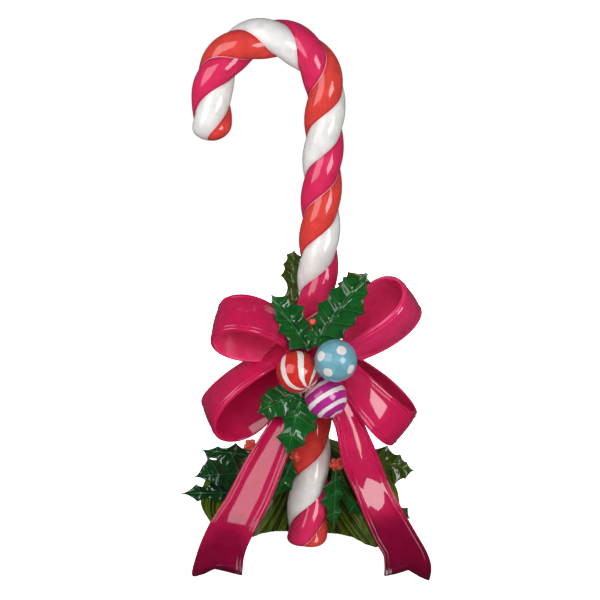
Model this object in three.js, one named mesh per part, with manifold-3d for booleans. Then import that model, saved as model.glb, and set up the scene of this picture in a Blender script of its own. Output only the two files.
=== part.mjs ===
// Standing candy cane decoration, cast and painted: a twisted three-strand cane with a ribbon bow,
// three striped and dotted balls, holly leaves, berry clusters and a pleated mound at its foot.
// Millimetres, +Z up. The origin is on the floor under the upright part of the shaft. +X is to the
// right and -Y to the front of someone who faces the bow.
import * as THREE from "three";
import Module from "manifold-3d";

const wasm = await Module();
wasm.setup();

// ---------------------------------------------------------------- driving sizes
const GAP = 0.3; // air between neighbouring pieces
const CRUMB = 0.06; // edges shorter than this are merged after a cut

const CANE = {
  shaftTop: 782, // height where the hook's arc starts
  hookRadius: 96.5, // of the centreline
  tipDrop: 82, // straight run from the arc's end down to the tip
  footRadius: 37,
  topRadius: 35,
  hookR: 35.5,
  lobeRatio: 0.72, // a strand's radius over the cane's
  footRound: 14,
  tipRound: 30,
  ringStep: 14.8,
  lobeSteps: 7,
  footForward: 46, // the shaft bows forward to its foot by this much
  bowTop: 330, // from this height down
};
// Turns of the strands at each distance along the centreline.
const TWIST = [
  [-2, -0.045],
  [7, 0.0],
  [71, 0.333],
  [284, 1.333],
  [478, 2.333],
  [687, 3.333],
  [898, 4.333],
  [1086, 5.333],
  [1180, 5.8],
];

const RIBBON = { thickness: 7, rimRound: 2.4, bead: 1.1, crown: 6, stations: 24 };
// Each loop is a band between a near edge, which opens to the viewer, and a far edge.
// azimuth, rise and roll set its long axis and its width axis, in degrees.
const LOOPS = [
  {
    name: "bow_loop_upper_left", root: [-29, -62, 358], azimuth: 156, rise: 16, roll: -131,
    length: 149, nearOpening: 93, farOpening: 82, width: 86, power: 0.48, lean: 5, offset: -14, side: -1,
  },
  {
    name: "bow_loop_upper_right", root: [62, -62, 355], azimuth: 43, rise: -12, roll: 26,
    length: 140, nearOpening: 107, farOpening: 50, width: 88, power: 0.57, lean: 0, offset: 16, side: 1,
  },
  {
    name: "bow_loop_lower_left", root: [-46, -62, 348], azimuth: 227, rise: -4, roll: -129,
    length: 180, nearOpening: 111, farOpening: 33, width: 84, power: 0.41, lean: 4, offset: 12, side: -1,
  },
  {
    name: "bow_loop_lower_right", root: [27, -62, 349], azimuth: -44, rise: -7, roll: 5,
    length: 189, nearOpening: 127, farOpening: 75, width: 66, power: 0.72, lean: 4, offset: 14, side: -1,
  },
];
// Each tail is a strip between two edges, listed from the knot down to the floor.
const TAILS = [
  {
    name: "bow_tail_left",
    left: [
      [-40, -72, 289], [-88, -94, 209], [-114, -108, 165], [-143, -128, 107], [-168, -144, 67],
      [-182, -173, 39], [-189, -201, 17], [-191, -218, 5], [-190, -228, 1], [-186, -239, 0],
    ],
    right: [
      [1, -84, 283], [-23, -102, 228], [-41, -123, 172], [-67, -149, 101], [-86, -166, 65],
      [-99, -187, 42], [-105, -204, 25], [-106, -216, 12], [-106, -221, 5], [-105, -223, 0],
    ],
  },
  {
    name: "bow_tail_right",
    left: [
      [16, -101, 277], [37, -102, 230], [48, -109, 169], [69, -113, 123], [95, -131, 79],
      [116, -157, 48], [130, -174, 30], [132, -184, 19], [132, -193, 9], [131, -198, 0],
    ],
    right: [
      [63, -87, 289], [89, -88, 237], [117, -90, 179], [139, -93, 129], [167, -109, 83],
      [189, -134, 53], [205, -157, 32], [212, -177, 16], [211, -193, 6], [207, -211, 0],
    ],
  },
];
const NOTCH = 21; // how far the tails' ends are cut in between their corners
const TAIL_STATIONS = 18;

const KNOT = { centre: [8, -62, 348], half: [50, 21, 30] };

const BALL_RADIUS = 36;
const BALLS = [
  { name: "ball_red", centre: [-28, -132, 332], pole: [0.3, -0.62, -0.73], color: 0xd8443c },
  { name: "ball_blue", centre: [35, -150, 359], pole: [0, 0, 1], color: 0x6fb2c6 },
  { name: "ball_purple", centre: [22, -114, 285], pole: [-0.35, 0.2, 0.92], color: 0xb23c92 },
];

const LEAF = { thickness: 4.6, edge: 2.4, sweep: 0.42, fold: 0.1, wave: 2.2, arch: 4, stem: 5 };
// Spikes are [distance along the midrib, distance out] from the base, the same number on each side.
const LEAVES = [
  {
    name: "leaf_top_left", base: [-10, -118, 368], tip: [-78, -102, 457], normal: [0.14, -0.95, 0.27],
    left: [[19, 29], [53, 28], [75, 21], [99, 11]], right: [[14, 19], [35, 28], [66, 36], [96, 22]],
    steps: 3, color: "leaf",
  },
  {
    name: "leaf_top_right", base: [-5, -118, 373], tip: [83, -100, 499], normal: [-0.16, -0.95, 0.25],
    left: [[36, 31], [92, 38], [125, 32]], right: [[42, 33], [97, 38], [127, 22]], steps: 3, color: "leaf",
  },
  {
    name: "leaf_rear_left", base: [-38, 10, 388], tip: [-43, 26, 511], normal: [-0.13, -0.98, 0.12],
    left: [[44, 11], [80, 18], [96, 13], [111, 9]], right: [[39, 13], [72, 12], [90, 11], [105, 9]],
    steps: 2, color: "olive_leaf",
  },
  {
    name: "leaf_rear_right", base: [44, -52, 404], tip: [82, -46, 490], normal: [0.24, -0.97, -0.04],
    left: [[58, 39], [83, 31]], right: [[55, 13], [82, 17]], steps: 2, color: "olive_leaf",
  },
  {
    name: "leaf_mid_left", base: [-31, -112, 285], tip: [-94, -98, 249], normal: [-0.35, -0.9, 0.27],
    left: [[12, 22], [33, 29], [60, 24]], right: [[17, 32], [41, 34], [58, 24]], steps: 3, color: "leaf",
  },
  {
    name: "leaf_mid_low", base: [-20, -114, 284], tip: [-40, -134, 184], normal: [-0.08, -0.97, 0.2],
    left: [[15, 29], [44, 39], [78, 26]], right: [[14, 17], [42, 23], [76, 26]], steps: 3, color: "leaf",
  },
  {
    name: "leaf_low_left", base: [-31, -52, 155], tip: [-62, -24, 71], normal: [-0.05, -0.95, -0.3],
    left: [[24, 23], [58, 27]], right: [[18, 10], [48, 10]], steps: 2, color: "leaf",
  },
  {
    name: "leaf_low_middle", base: [47, -58, 140], tip: [48, -62, 34], normal: [-0.19, -0.98, 0.04],
    left: [[14, 12], [40, 16], [75, 12]], right: [[34, 23], [59, 27], [86, 15]], steps: 2, color: "leaf",
  },
  {
    name: "leaf_low_right", base: [42, -52, 127], tip: [100, -34, 48], normal: [0.25, -0.97, -0.04],
    left: [[25, 11], [67, 8]], right: [[25, 17], [74, 19]], steps: 2, color: "leaf",
  },
  {
    name: "leaf_left_top", base: [-84, -20, 146], tip: [-187, -56, 165], normal: [0.37, -0.83, 0.41],
    left: [[70, 25], [102, 15]], right: [[53, 19], [85, 10]], steps: 2, color: "dark_leaf",
  },
  {
    name: "leaf_left_middle", base: [-80, -30, 122], tip: [-198, -88, 127], normal: [0.41, -0.8, 0.44],
    left: [[70, 34], [94, 21], [107, 12]], right: [[63, 45], [104, 31], [115, 19]], steps: 2, color: "dark_leaf",
  },
  {
    name: "leaf_left_low", base: [-88, -28, 84], tip: [-220, -84, 94], normal: [0.39, -0.87, 0.31],
    left: [[77, 18], [115, 15]], right: [[85, 23], [118, 16]], steps: 2, color: "dark_leaf",
  },
  {
    name: "leaf_right_top", base: [50, -10, 160], tip: [182, -52, 143], normal: [-0.25, -0.91, 0.32],
    left: [[84, 31], [110, 22], [124, 12]], right: [[79, 33], [113, 32], [129, 18]], steps: 2, color: "olive_leaf",
  },
  {
    name: "leaf_right_low", base: [112, -48, 84], tip: [178, -84, 66], normal: [-0.35, -0.84, 0.42],
    left: [[40, 19], [66, 16]], right: [[30, 10], [56, 13]], steps: 2, color: "leaf",
  },
];

const BERRY_RADIUS = 5;
const BERRIES = [
  { name: "berries_left", centre: [-105, -55, 178], radius: 12, count: 7 },
  { name: "berries_centre_left", centre: [-26, -47, 158], radius: 11, count: 7 },
  { name: "berries_centre_right", centre: [50, -46, 140], radius: 12, count: 8 },
  { name: "berries_top", centre: [-6, -112, 415], radius: 6, count: 4 },
];

// The mound's plan at the floor runs from the bay behind the cane, round the left, to the back and
// the right. Its crown is a small ring; the bay's side leans in to it evenly and the rest bulges.
const MOUND = {
  bay: 5, // clearance round the cane
  pleats: 38,
  pleatDepth: 2.2,
  plan: [
    [0, -14], [-38, 9], [-74, -4], [-97, -30], [-122, -56], [-152, -60], [-180, -36], [-188, 12], [-178, 66],
    [-144, 108], [-78, 130], [0, 136], [78, 130], [134, 104], [156, 56], [160, 4], [154, -42], [134, -60],
    [108, -44], [80, -6], [38, 9],
  ],
  crown: { centre: [-6, 46], radius: 30 },
  bayPoints: 4, // plan points on each side of the middle that belong to the bay
  heights: [0, 24, 60, 100, 136, 166],
  bayLean: [0, 0.26, 0.59, 0.82, 0.94, 1],
  sideLean: [0.2, 0.08, -0.02, 0.09, 0.4, 1],
};

const COLORS = {
  cane: 0xd92f5e,
  ribbon: 0xc2245c,
  leaf: 0x1f6e35,
  dark_leaf: 0x1b4a2c,
  olive_leaf: 0x4f6a1f,
  berries: 0xcf3a30,
  mound: 0x46591d,
};

// ---------------------------------------------------------------- small helpers
const vec = (p) => new THREE.Vector3(p[0], p[1], p[2]);
const lerp = (a, b, t) => a + (b - a) * t;
const radians = (degrees) => (degrees * Math.PI) / 180;

// Value of a table of [x, y] rows at x, by a curve that doesn't overshoot.
function tableAt(rows, x) {
  let i = 0;
  while (i < rows.length - 2 && x > rows[i + 1][0]) i += 1;
  const slope = (k) => (rows[k + 1][1] - rows[k][1]) / (rows[k + 1][0] - rows[k][0]);
  const tangent = (k) => {
    if (k === 0) return slope(0);
    if (k === rows.length - 1) return slope(k - 1);
    return (slope(k - 1) + slope(k)) / 2;
  };
  const [x0, y0] = rows[i];
  const [x1, y1] = rows[i + 1];
  const h = x1 - x0;
  const t = (x - x0) / h;
  const t2 = t * t;
  const t3 = t2 * t;
  return (
    (2 * t3 - 3 * t2 + 1) * y0 +
    (t3 - 2 * t2 + t) * h * tangent(i) +
    (3 * t2 - 2 * t3) * y1 +
    (t3 - t2) * h * tangent(i + 1)
  );
}

function makeSolid(points, faces) {
  const properties = new Float32Array(points.length * 3);
  points.forEach((p, i) => properties.set([p.x, p.y, p.z], i * 3));
  let volume = 0;
  for (const [a, b, c] of faces) {
    volume += points[a].dot(new THREE.Vector3().crossVectors(points[b], points[c])) / 6;
  }
  const turned = volume < 0 ? faces.map(([a, b, c]) => [a, c, b]) : faces;
  const mesh = new wasm.Mesh({
    numProp: 3,
    vertProperties: properties,
    triVerts: new Uint32Array(turned.flat()),
  });
  return new wasm.Manifold(mesh);
}

// Solid through a row of closed rings of equal length. Each end is a fan, or with flatStart the
// first ring is level and closed by a cover that follows its hollows.
function ringSolid(rings, flatStart = false) {
  const count = rings[0].length;
  const points = rings.flat();
  const faces = [];
  for (let i = 0; i < rings.length - 1; i += 1) {
    for (let j = 0; j < count; j += 1) {
      const a = i * count + j;
      const b = i * count + ((j + 1) % count);
      faces.push([a, b, b + count], [a, b + count, a + count]);
    }
  }
  const middle = (ring) => ring.reduce((sum, p) => sum.add(p), new THREE.Vector3()).divideScalar(count);
  const end = points.push(middle(rings[rings.length - 1])) - 1;
  const last = (rings.length - 1) * count;
  for (let j = 0; j < count; j += 1) faces.push([end, last + j, last + ((j + 1) % count)]);
  if (flatStart) {
    const contour = rings[0].map((p) => new THREE.Vector2(p.x, p.y));
    const counterClockwise = !THREE.ShapeUtils.isClockWise(contour);
    const cover = THREE.ShapeUtils.triangulateShape(contour, []);
    for (const [a, b, c] of cover) faces.push(counterClockwise ? [a, c, b] : [a, b, c]);
  } else {
    const start = points.push(middle(rings[0])) - 1;
    for (let j = 0; j < count; j += 1) faces.push([start, (j + 1) % count, j]);
  }
  return makeSolid(points, faces);
}

// The biggest connected piece, for when a cut leaves crumbs.
function biggest(solid) {
  const parts = solid.decompose();
  return parts.reduce((best, part) => (part.volume() > best.volume() ? part : best));
}

// ---------------------------------------------------------------- cane
const ARC_LENGTH = Math.PI * CANE.hookRadius;
const CANE_LENGTH = CANE.shaftTop + ARC_LENGTH + CANE.tipDrop;

// Centre, outward direction in the hook's plane and radius at a distance along the centreline.
function caneFrame(s) {
  const angle = Math.min(Math.max((s - CANE.shaftTop) / CANE.hookRadius, 0), Math.PI);
  const out = new THREE.Vector3(Math.cos(angle), 0, Math.sin(angle));
  const centre = new THREE.Vector3(-CANE.hookRadius, 0, CANE.shaftTop).addScaledVector(out, CANE.hookRadius);
  centre.y = -CANE.footForward * Math.max(0, 1 - s / CANE.bowTop) ** 2;
  centre.z += Math.min(s - CANE.shaftTop, 0) - Math.max(s - CANE.shaftTop - ARC_LENGTH, 0);
  const onShaft = Math.min(s / CANE.shaftTop, 1);
  const onHook = Math.max((s - CANE.shaftTop) / (CANE_LENGTH - CANE.shaftTop), 0);
  const radius = lerp(lerp(CANE.footRadius, CANE.topRadius, onShaft), CANE.hookR, onHook);
  return { centre, out, radius };
}

function caneSolid(grow) {
  const back = new THREE.Vector3(0, 1, 0);
  const stations = [0, 2, 6, CANE.footRound];
  const end = CANE_LENGTH - CANE.tipRound;
  const count = Math.round((end - CANE.footRound) / CANE.ringStep);
  for (let i = 1; i <= count; i += 1) stations.push(lerp(CANE.footRound, end, i / count));
  for (const f of [0.3, 0.55, 0.76, 0.9, 0.975]) stations.push(end + f * CANE.tipRound);
  const offset = 1 - CANE.lobeRatio;
  const rings = stations.map((s) => {
    const frame = caneFrame(s);
    let radius = frame.radius;
    if (s < CANE.footRound) {
      const drop = CANE.footRound - s;
      radius += Math.sqrt(CANE.footRound ** 2 - drop ** 2) - CANE.footRound;
    }
    if (s > end) radius *= Math.sqrt(1 - ((s - end) / CANE.tipRound) ** 2.2);
    const turn = 2 * Math.PI * tableAt(TWIST, s) - Math.PI / 2;
    const ring = [];
    for (let lobe = 0; lobe < 3; lobe += 1) {
      for (let k = 0; k < CANE.lobeSteps; k += 1) {
        const local = radians(-60 + (120 * k) / CANE.lobeSteps);
        const reach = offset * Math.cos(local) + Math.sqrt(CANE.lobeRatio ** 2 - (offset * Math.sin(local)) ** 2);
        const theta = turn + radians(60 + 120 * lobe) + local;
        const r = radius * reach + grow;
        ring.push(
          frame.centre.clone().addScaledVector(frame.out, r * Math.cos(theta)).addScaledVector(back, r * Math.sin(theta)),
        );
      }
    }
    return ring;
  });
  return ringSolid(rings);
}

// ---------------------------------------------------------------- ribbon
// Ring round a ribbon's section: from edge a to edge b, raised beads along both outer rims. The
// crown is how far the section's middle arches out.
function ribbonRing(a, b, outward, grow, crown = 0) {
  const half = RIBBON.thickness / 2 + grow;
  const width = a.distanceTo(b);
  const across = new THREE.Vector3().subVectors(b, a).normalize();
  const rim = RIBBON.rimRound;
  const profile = [
    [-grow, 0.2], [rim, 1], [rim + 4, 0.84], [width / 2, 1.05], [width - rim - 4, 0.84], [width - rim, 1],
    [width + grow, 0.2], [width - rim, -1], [width / 2, -1], [rim, -1],
  ];
  return profile.map(([along, up], i) => {
    const bead = i === 1 || i === 5 ? RIBBON.bead : 0;
    const arch = (4 * crown * along * (width - along)) / width ** 2;
    return a.clone().addScaledVector(across, along).addScaledVector(outward, up * half + bead + arch);
  });
}

function loopFrame(loop) {
  const az = radians(loop.azimuth);
  const rise = radians(loop.rise);
  const along = new THREE.Vector3(Math.cos(az) * Math.cos(rise), -Math.sin(rise), Math.sin(az) * Math.cos(rise));
  const across = new THREE.Vector3(-Math.sin(az), 0, Math.cos(az));
  across.addScaledVector(along, -across.dot(along)).normalize();
  across.applyAxisAngle(along, radians(loop.roll));
  const up = new THREE.Vector3().crossVectors(across, along);
  return { along, across, up };
}

const LOOP_PARTING = 4.4; // keeps the two bands apart at the knot

function loopEdges(loop, frame, t) {
  const x = (1 - Math.cos(2 * Math.PI * t)) / 2;
  const wave = Math.sin(2 * Math.PI * t);
  let peak = 0;
  for (let i = 1; i < 100; i += 1) {
    const xi = (1 - Math.cos((2 * Math.PI * i) / 200)) / 2;
    peak = Math.max(peak, Math.sin((2 * Math.PI * i) / 200) * xi ** loop.power);
  }
  const y = (wave * x ** loop.power) / peak / 2;
  const parting = Math.sign(wave) * LOOP_PARTING * (1 - x) ** 2;
  const half = (loop.width * (1 - 0.45 * (1 - x) ** 2)) / 2;
  const edge = (reach, rise, side) =>
    vec(loop.root)
      .addScaledVector(frame.along, x * reach)
      .addScaledVector(frame.up, rise)
      .addScaledVector(frame.across, side * half);
  const near = edge(loop.length + loop.lean, y * loop.nearOpening + parting, loop.side);
  const far = edge(loop.length - loop.lean, y * loop.farOpening + loop.offset * x + parting, -loop.side);
  return { near, far };
}

function loopSolid(loop, grow) {
  const frame = loopFrame(loop);
  const centre = vec(loop.root).addScaledVector(frame.along, loop.length * 0.5);
  const rings = [];
  for (let i = 0; i <= RIBBON.stations; i += 1) {
    const t = lerp(0.045, 0.955, i / RIBBON.stations);
    const here = loopEdges(loop, frame, t);
    const before = loopEdges(loop, frame, t - 0.004);
    const after = loopEdges(loop, frame, t + 0.004);
    const middle = here.near.clone().add(here.far).divideScalar(2);
    const run = after.near.clone().add(after.far).sub(before.near).sub(before.far);
    const outward = new THREE.Vector3().crossVectors(run, here.far.clone().sub(here.near)).normalize();
    if (i === 0) loop.turn = 1;
    if (i === Math.round(RIBBON.stations / 4)) loop.turn = Math.sign(outward.dot(middle.clone().sub(centre)));
    const x = Math.sin(Math.PI * t) ** 2;
    const crown = RIBBON.crown * (1 - (1 - x) ** 4) * (1 - 0.6 * x ** 6);
    rings.push({ here, outward, crown });
  }
  return ringSolid(
    rings.map(({ here, outward, crown }) => {
      return ribbonRing(here.near, here.far, outward.multiplyScalar(loop.turn), grow, crown);
    }),
  );
}

function tailSolid(tail, grow) {
  const left = new THREE.CatmullRomCurve3(tail.left.map(vec));
  const right = new THREE.CatmullRomCurve3(tail.right.map(vec));
  const rings = [];
  for (let i = 0; i <= TAIL_STATIONS; i += 1) {
    const s = i / TAIL_STATIONS;
    const step = 0.01;
    const a = left.getPoint(s);
    const b = right.getPoint(s);
    const run = left.getPoint(Math.min(s + step, 1)).add(right.getPoint(Math.min(s + step, 1)));
    run.sub(left.getPoint(Math.max(s - step, 0))).sub(right.getPoint(Math.max(s - step, 0)));
    const outward = new THREE.Vector3().crossVectors(run, b.clone().sub(a)).normalize();
    if (outward.y > 0) outward.negate();
    const ring = ribbonRing(a, b, outward, grow);
    const back = run.clone().normalize().multiplyScalar(-NOTCH * Math.max(0, (s - 0.55) / 0.45) ** 2);
    const width = a.distanceTo(b);
    ring.forEach((p) => {
      const along = p.clone().sub(a).dot(b.clone().sub(a)) / width / width;
      p.addScaledVector(back, Math.max(0, 1 - Math.abs(2 * along - 1)));
    });
    rings.push(ring);
  }
  const solid = ringSolid(rings);
  return grow > 0 ? solid : solid.trimByPlane([0, 0, 1], 0);
}

// Rounded lump that the loops and tails leave from.
function knotSolid(grow) {
  const rings = [];
  for (let i = 1; i < 6; i += 1) {
    const polar = (Math.PI * i) / 6;
    const ring = [];
    for (let j = 0; j < 12; j += 1) {
      const a = (2 * Math.PI * j) / 12;
      const soft = (v) => Math.sign(v) * Math.abs(v) ** 0.7;
      ring.push(
        new THREE.Vector3(
          KNOT.centre[0] + (KNOT.half[0] + grow) * soft(Math.cos(polar)),
          KNOT.centre[1] + (KNOT.half[1] + grow) * soft(Math.sin(polar)) * soft(Math.cos(a)),
          KNOT.centre[2] + (KNOT.half[2] + grow) * soft(Math.sin(polar)) * soft(Math.sin(a)),
        ),
      );
    }
    rings.push(ring);
  }
  return ringSolid(rings);
}

// ---------------------------------------------------------------- balls
function ballSolid(ball, grow) {
  const pole = vec(ball.pole).normalize();
  const turn = new THREE.Quaternion().setFromUnitVectors(new THREE.Vector3(0, 0, 1), pole);
  const radius = BALL_RADIUS + grow;
  const bands = 8;
  const around = 16;
  const rings = [];
  for (let i = 0; i <= bands; i += 1) {
    const polar = Math.PI * lerp(0.035, 0.965, i / bands);
    const ring = [];
    for (let j = 0; j < around; j += 1) {
      const a = (2 * Math.PI * j) / around;
      const p = new THREE.Vector3(Math.sin(polar) * Math.cos(a), Math.sin(polar) * Math.sin(a), Math.cos(polar));
      ring.push(p.multiplyScalar(radius).applyQuaternion(turn).add(vec(ball.centre)));
    }
    rings.push(ring);
  }
  return ringSolid(rings);
}

// ---------------------------------------------------------------- holly leaves
// One side's outline from base to tip: scallops between spikes, in steps.
function leafOutline(spikes, length, steps, grow) {
  const corners = [[0, LEAF.stem + grow], ...spikes.map(([u, v]) => [u, v + grow]), [length + grow, 0.9 + grow]];
  const outline = [corners[0]];
  for (let i = 0; i < corners.length - 1; i += 1) {
    const [u0, v0] = corners[i];
    const [u1, v1] = corners[i + 1];
    const dip = 0.62 * Math.min((v0 + v1) / 2, Math.hypot(u1 - u0, v1 - v0) * 0.55);
    for (let k = 1; k <= steps; k += 1) {
      const t = k / steps;
      const bow = 4 * t * (1 - t) * dip * 0.62;
      outline.push([lerp(u0, u1, t), Math.max(lerp(v0, v1, t) - bow, 0.9 + grow)]);
    }
  }
  return outline;
}

function leafSolid(leaf, grow) {
  const base = vec(leaf.base);
  const along = vec(leaf.tip).sub(base);
  const length = along.length();
  along.normalize();
  const normal = vec(leaf.normal);
  normal.addScaledVector(along, -normal.dot(along)).normalize();
  const across = new THREE.Vector3().crossVectors(normal, along);
  const sides = [leaf.left, leaf.right].map((spikes) => leafOutline(spikes, length, leaf.steps, grow));
  const last = sides[0].length - 1;
  const columns = [-1, -0.5, 0, 0.5, 1];
  const top = [];
  const bottom = [];
  let spineU = -1;
  for (let i = 0; i <= last; i += 1) {
    const swept = (k) => sides[k][i][0] - LEAF.sweep * sides[k][i][1];
    spineU = i === last ? length : Math.max((swept(0) + swept(1)) / 2, spineU + 1, 0);
    const spikeness = i % leaf.steps === 0 ? 1 : -0.6;
    for (const c of columns) {
      const side = sides[c > 0 ? 0 : 1][i];
      const f = Math.abs(c);
      const u = lerp(spineU, side[0], f);
      const v = Math.sign(c) * side[1] * f;
      const arch = LEAF.arch * Math.sin((Math.PI * Math.min(Math.max(u / length, 0), 1)));
      const wave = LEAF.wave * spikeness * f * f * Math.min(side[1] / 20, 1);
      const height = arch + wave - LEAF.fold * Math.abs(v);
      const half = lerp(LEAF.thickness, LEAF.edge, f) / 2 + grow;
      const point = base.clone().addScaledVector(along, u).addScaledVector(across, v);
      top.push(point.clone().addScaledVector(normal, height + half));
      bottom.push(point.clone().addScaledVector(normal, height - half));
    }
  }
  const width = columns.length;
  const shift = top.length;
  const points = [...top, ...bottom];
  const faces = [];
  const quad = (a, b, c, d) => faces.push([a, b, c], [a, c, d]);
  for (let i = 0; i < last; i += 1) {
    for (let j = 0; j < width - 1; j += 1) {
      const a = i * width + j;
      quad(a, a + 1, a + 1 + width, a + width);
      faces.push([shift + a, shift + a + 1 + width, shift + a + 1]);
      faces.push([shift + a, shift + a + width, shift + a + 1 + width]);
    }
    const a = i * width;
    const b = a + width - 1;
    quad(a, a + width, shift + a + width, shift + a);
    quad(b + width, b, shift + b, shift + b + width);
  }
  for (let j = 0; j < width - 1; j += 1) {
    const end = last * width + j;
    quad(j + 1, j, shift + j, shift + j + 1);
    quad(end, end + 1, shift + end + 1, shift + end);
  }
  return makeSolid(points, faces);
}

// ---------------------------------------------------------------- berries
function berrySolid(centre, radius) {
  const round = new THREE.OctahedronGeometry(radius, 1);
  const seen = new Map();
  const points = [];
  const faces = [];
  const position = round.getAttribute("position");
  const index = [];
  for (let i = 0; i < position.count; i += 1) {
    const p = new THREE.Vector3().fromBufferAttribute(position, i);
    const key = [p.x, p.y, p.z].map((v) => Math.round(v * 1000)).join(",");
    if (!seen.has(key)) {
      seen.set(key, points.length);
      points.push(p.add(centre));
    }
    index.push(seen.get(key));
  }
  for (let i = 0; i < index.length; i += 3) faces.push(index.slice(i, i + 3));
  return makeSolid(points, faces);
}

// Berries spread evenly over a ball, fused with the core that carries them.
function clusterSolid(cluster, grow) {
  const centre = vec(cluster.centre);
  let solid = berrySolid(centre, cluster.radius - BERRY_RADIUS + grow);
  for (let i = 0; i < cluster.count; i += 1) {
    const height = 1 - (2 * (i + 0.5)) / cluster.count;
    const a = i * Math.PI * (3 - Math.sqrt(5));
    const flat = Math.sqrt(1 - height * height);
    const out = new THREE.Vector3(flat * Math.cos(a), flat * Math.sin(a), height);
    const spot = centre.clone().addScaledVector(out, cluster.radius - BERRY_RADIUS);
    solid = solid.add(berrySolid(spot, BERRY_RADIUS + grow));
  }
  return solid;
}

// ---------------------------------------------------------------- pleated mound
function moundSolid() {
  const count = MOUND.plan.length;
  const plan = new THREE.CatmullRomCurve3(MOUND.plan.map(([x, y]) => new THREE.Vector3(x, y, 0)), true);
  const samples = MOUND.pleats * 2;
  const crown = new THREE.Vector3(MOUND.crown.centre[0], MOUND.crown.centre[1], 0);
  const lines = [];
  for (let i = 0; i < samples; i += 1) {
    const u = i / samples;
    const floor = plan.getPointAt(u);
    const along = plan.getTangentAt(u);
    const outward = new THREE.Vector3(-along.y, along.x, 0);
    const angle = -Math.PI / 2 - 2 * Math.PI * u;
    const top = crown.clone().add(new THREE.Vector3(Math.cos(angle), Math.sin(angle), 0).multiplyScalar(MOUND.crown.radius));
    const knot = plan.getUtoTmapping(u) * count;
    const fromBay = Math.min(knot, count - knot);
    const side = THREE.MathUtils.smoothstep(fromBay, MOUND.bayPoints - 1, MOUND.bayPoints + 1.5);
    const pleat = (i % 2 === 0 ? 1 : -1) * MOUND.pleatDepth;
    lines.push({ floor, top, outward, side, pleat });
  }
  const rings = MOUND.heights.map((z, k) =>
    lines.map(({ floor, top, outward, side, pleat }) => {
      const lean = lerp(MOUND.bayLean[k], MOUND.sideLean[k], side);
      const p = floor.clone().lerp(top, lean).addScaledVector(outward, pleat * (1 - 0.8 * Math.max(lean, 0)));
      p.z = z;
      return p;
    }),
  );
  return ringSolid(rings, true);
}

// ---------------------------------------------------------------- assembly
const placed = [];

// Keeps a solid clear of the ones placed before it that its box meets.
function fit(solid, skip = []) {
  const box = solid.boundingBox();
  let result = solid;
  for (const other of placed) {
    if (skip.includes(other.name)) continue;
    const apart = [0, 1, 2].some((k) => box.min[k] > other.box.max[k] + 1 || box.max[k] < other.box.min[k] - 1);
    if (!apart) result = result.subtract(other.grown());
  }
  return result === solid ? solid : biggest(result.asOriginal().simplify(CRUMB));
}

function place(name, solid, grown) {
  const cache = {};
  placed.push({
    name,
    solid,
    box: solid.boundingBox(),
    grown: () => (cache.solid = cache.solid ?? grown()),
  });
}

const group = new THREE.Group();
group.name = "candy_cane";

function show(name, solid, slot, color, anchor = [0, 0, 0]) {
  const mesh = solid.getMesh();
  const geometry = new THREE.BufferGeometry();
  const position = new Float32Array((mesh.vertProperties.length / mesh.numProp) * 3);
  for (let i = 0; i < position.length / 3; i += 1) {
    for (let k = 0; k < 3; k += 1) position[i * 3 + k] = mesh.vertProperties[i * mesh.numProp + k] - anchor[k];
  }
  geometry.setAttribute("position", new THREE.BufferAttribute(position, 3));
  geometry.setIndex(Array.from(mesh.triVerts));
  geometry.computeVertexNormals();
  const material = new THREE.MeshStandardMaterial({ color, roughness: 0.2, metalness: 0 });
  material.name = slot;
  const piece = new THREE.Mesh(geometry, material);
  piece.name = name;
  piece.position.set(...anchor);
  group.add(piece);
}

place("cane", caneSolid(0), () => caneSolid(GAP));
show("cane", placed[0].solid, "cane", COLORS.cane);

function build(name, maker, slot, color, anchor) {
  const solid = fit(maker(0));
  place(name, solid, () => maker(GAP));
  show(name, solid, slot, color, anchor);
}

for (const loop of LOOPS) build(loop.name, (g) => loopSolid(loop, g), "ribbon", COLORS.ribbon, loop.root);
for (const tail of TAILS) build(tail.name, (g) => tailSolid(tail, g), "ribbon", COLORS.ribbon);
for (const ball of BALLS) build(ball.name, (g) => ballSolid(ball, g), ball.name, ball.color, ball.centre);
for (const leaf of LEAVES) build(leaf.name, (g) => leafSolid(leaf, g), leaf.color, COLORS[leaf.color], leaf.base);
for (const cluster of BERRIES) {
  build(cluster.name, (g) => clusterSolid(cluster, g), "berries", COLORS.berries, cluster.centre);
}
build("bow_knot", knotSolid, "ribbon", COLORS.ribbon, KNOT.centre);
build("mound", () => moundSolid().subtract(caneSolid(MOUND.bay)), "mound", COLORS.mound);

export default group;
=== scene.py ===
from math import acos, asin, atan2, copysign, cos, degrees, exp, hypot, pi, radians, sin, sqrt

import bmesh
import bpy
import numpy as np
from mathutils import Matrix, Vector


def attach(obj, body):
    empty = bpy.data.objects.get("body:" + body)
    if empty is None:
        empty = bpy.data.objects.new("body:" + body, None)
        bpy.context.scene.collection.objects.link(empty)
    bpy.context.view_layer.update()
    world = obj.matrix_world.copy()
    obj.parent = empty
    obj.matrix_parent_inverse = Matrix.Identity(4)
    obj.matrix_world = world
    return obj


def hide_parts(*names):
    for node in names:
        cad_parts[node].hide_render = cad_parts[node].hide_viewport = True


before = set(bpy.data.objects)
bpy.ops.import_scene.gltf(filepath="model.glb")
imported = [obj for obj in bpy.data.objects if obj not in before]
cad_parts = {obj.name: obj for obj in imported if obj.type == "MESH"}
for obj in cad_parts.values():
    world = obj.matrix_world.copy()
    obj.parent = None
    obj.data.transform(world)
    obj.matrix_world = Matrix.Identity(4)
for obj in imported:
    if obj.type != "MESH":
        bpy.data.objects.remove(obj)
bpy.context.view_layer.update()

MM = 0.001
scene = bpy.context.scene

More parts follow.
